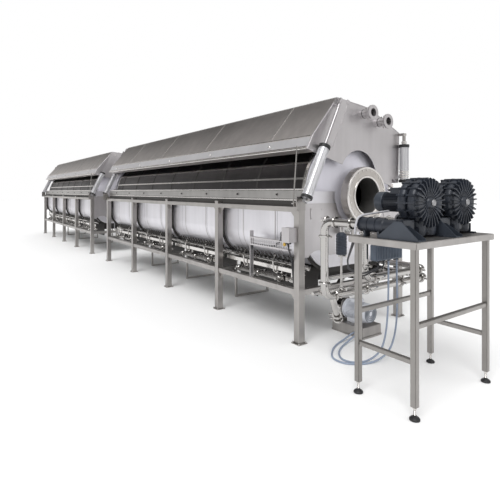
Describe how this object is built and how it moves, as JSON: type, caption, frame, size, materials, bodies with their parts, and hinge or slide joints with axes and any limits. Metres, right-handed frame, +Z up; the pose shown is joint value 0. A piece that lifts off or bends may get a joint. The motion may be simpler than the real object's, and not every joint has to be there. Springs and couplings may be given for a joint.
{
  "type": "rotary drum blancher line",
  "caption": "Two long perforated drums in steel tanks under lift-up hoods, in line on leg frames, fed with air from a blower stand at one end.",
  "frame": {"origin": "on the floor under the middle of the whole line", "axes": "+X along the line towards the infeed collar and the blower stand, +Y to the back where the hoods are hinged, +Z up"},
  "size_m": [16.308, 2.156, 2.6399],
  "materials": {
    "brushed_steel": "brushed",
    "satin_sheet": "satin",
    "cover_sheet": "brushed",
    "dark_steel": "satin",
    "polished_pipe": "polished",
    "perforated_screen": "perforated",
    "collar_steel": "brushed",
    "white_polymer": "matte",
    "black_polymer": "matte",
    "motor_paint": "satin",
    "cylinder_aluminium": "satin",
    "blower_paint": "satin",
    "cast_aluminium": "cast",
    "hose_blue": "satin",
    "pump_white": "satin"
  },
  "bodies": {
    "line": {"near_legs": "brushed_steel", "near_rails": "brushed_steel", "near_cross_beams": "brushed_steel", "near_tank": "satin_sheet", "near_cradles": "dark_steel", "near_end_skirts": "satin_sheet", "near_sump_pans": "dark_steel", "near_steam_pipes": "polished_pipe", "near_frame_brackets": "brushed_steel", "near_gearmotor": "motor_paint", "far_legs": "brushed_steel", "far_rails": "brushed_steel", "far_cross_beams": "brushed_steel", "far_tank": "satin_sheet", "far_cradles": "dark_steel", "far_end_skirts": "satin_sheet", "far_sump_pans": "dark_steel", "far_steam_pipes": "polished_pipe", "far_frame_brackets": "brushed_steel", "far_gearmotor": "motor_paint", "wiring": "satin_sheet", "table_frame": "brushed_steel", "table_top": "brushed_steel", "levelling_feet": "black_polymer", "blower_casings": "blower_paint", "blower_motors": "blower_paint", "silencers": "blower_paint", "air_pipes": "polished_pipe", "control_box": "motor_paint", "hoses": "hose_blue", "pump": "pump_white"},
    "near_drum": {"near_drum_shell": "perforated_screen", "near_drum_flight": "satin_sheet", "near_drum_bars": "brushed_steel", "near_drum_collars": "collar_steel"},
    "near_idlers": {"near_idler_wheels": "white_polymer"},
    "near_drive": {"near_drive_wheels": "white_polymer"},
    "near_hood": {"near_hood_panels": "cover_sheet", "near_hood_end_plates": "satin_sheet", "near_back_cylinders": "cylinder_aluminium", "near_back_rods": "polished_pipe"},
    "near_lift_barrels": {"near_lift_cylinders": "cylinder_aluminium"},
    "near_lift_rods": {"near_lift_rods": "polished_pipe"},
    "near_prop": {"near_hood_prop": "polished_pipe"},
    "far_drum": {"far_drum_shell": "perforated_screen", "far_drum_flight": "satin_sheet", "far_drum_bars": "brushed_steel", "far_drum_collars": "collar_steel"},
    "far_idlers": {"far_idler_wheels": "white_polymer"},
    "far_drive": {"far_drive_wheels": "white_polymer"},
    "far_hood": {"far_hood_panels": "cover_sheet", "far_hood_end_plates": "satin_sheet", "far_back_cylinders": "cylinder_aluminium", "far_back_rods": "polished_pipe"},
    "far_lift_barrels": {"far_lift_cylinders": "cylinder_aluminium"},
    "far_lift_rods": {"far_lift_rods": "polished_pipe"},
    "far_prop": {"far_hood_prop": "polished_pipe"},
    "front_rotor": {"front_impeller": "cast_aluminium"},
    "back_rotor": {"back_impeller": "cast_aluminium"},
    "pump_rotor": {"pump_impeller": "cast_aluminium"}
  },
  "joints": [
    {"name": "near_drum_spin", "type": "hinge", "parent": "line", "child": "near_drum", "pos_m": [3.334, 0.168, 1.55], "axis": [1, 0, 0], "continuous": true},
    {"name": "near_idler_spin", "type": "hinge", "parent": "line", "child": "near_idlers", "pos_m": [6.534, -0.06172, 1.22193], "axis": [1, 0, 0], "continuous": true},
    {"name": "near_drive_spin", "type": "hinge", "parent": "line", "child": "near_drive", "pos_m": [6.534, 0.39772, 1.22193], "axis": [1, 0, 0], "continuous": true},
    {"name": "near_hood_close", "type": "hinge", "parent": "line", "child": "near_hood", "pos_m": [3.334, 0.968, 1.66], "axis": [1, 0, 0], "range_deg": [0, 14.2]},
    {"name": "near_lift_swing", "type": "hinge", "parent": "line", "child": "near_lift_barrels", "pos_m": [6.534, -0.732, 1.51], "axis": [1, 0, 0], "range_deg": [0, 2.6]},
    {"name": "near_lift_stroke", "type": "slide", "parent": "near_lift_barrels", "child": "near_lift_rods", "axis": [0, 0.4371, 0.8994], "range_m": [-0.37, 0]},
    {"name": "near_prop_fold", "type": "hinge", "parent": "line", "child": "near_prop", "pos_m": [6.504, -0.74, 1.475], "axis": [1, 0, 0], "range_deg": [0, 160.1]},
    {"name": "far_drum_spin", "type": "hinge", "parent": "line", "child": "far_drum", "pos_m": [-4.533, 0.168, 1.55], "axis": [1, 0, 0], "continuous": true},
    {"name": "far_idler_spin", "type": "hinge", "parent": "line", "child": "far_idlers", "pos_m": [-1.333, -0.06172, 1.22193], "axis": [1, 0, 0], "continuous": true},
    {"name": "far_drive_spin", "type": "hinge", "parent": "line", "child": "far_drive", "pos_m": [-1.333, 0.39772, 1.22193], "axis": [1, 0, 0], "continuous": true},
    {"name": "far_hood_close", "type": "hinge", "parent": "line", "child": "far_hood", "pos_m": [-4.533, 0.968, 1.66], "axis": [1, 0, 0], "range_deg": [0, 14.2]},
    {"name": "far_lift_swing", "type": "hinge", "parent": "line", "child": "far_lift_barrels", "pos_m": [-1.333, -0.732, 1.51], "axis": [1, 0, 0], "range_deg": [0, 2.6]},
    {"name": "far_lift_stroke", "type": "slide", "parent": "far_lift_barrels", "child": "far_lift_rods", "axis": [0, 0.4371, 0.8994], "range_m": [-0.37, 0]},
    {"name": "far_prop_fold", "type": "hinge", "parent": "line", "child": "far_prop", "pos_m": [-1.363, -0.74, 1.475], "axis": [1, 0, 0], "range_deg": [0, 160.1]},
    {"name": "front_rotor_spin", "type": "hinge", "parent": "line", "child": "front_rotor", "pos_m": [7.934, -0.682, 1.512], "axis": [1, 0, 0], "continuous": true},
    {"name": "back_rotor_spin", "type": "hinge", "parent": "line", "child": "back_rotor", "pos_m": [7.934, -0.182, 1.512], "axis": [1, 0, 0], "continuous": true},
    {"name": "pump_rotor_spin", "type": "hinge", "parent": "line", "child": "pump_rotor", "pos_m": [6.534, 0.098, 0.25], "axis": [1, 0, 0], "continuous": true}
  ],
  "couplings": [
    {"joint": "near_idler_spin", "follows": "near_drum_spin", "ratio": -4.3333},
    {"joint": "near_drive_spin", "follows": "near_drum_spin", "ratio": -4.3333},
    {"joint": "near_lift_swing", "follows": "near_hood_close", "ratio": 0.1793},
    {"joint": "near_lift_stroke", "follows": "near_hood_close", "m_per_rad": -1.477},
    {"joint": "near_prop_fold", "follows": "near_hood_close", "ratio": 11.27},
    {"joint": "far_idler_spin", "follows": "far_drum_spin", "ratio": -4.3333},
    {"joint": "far_drive_spin", "follows": "far_drum_spin", "ratio": -4.3333},
    {"joint": "far_lift_swing", "follows": "far_hood_close", "ratio": 0.1793},
    {"joint": "far_lift_stroke", "follows": "far_hood_close", "m_per_rad": -1.477},
    {"joint": "far_prop_fold", "follows": "far_hood_close", "ratio": 11.27}
  ]
}
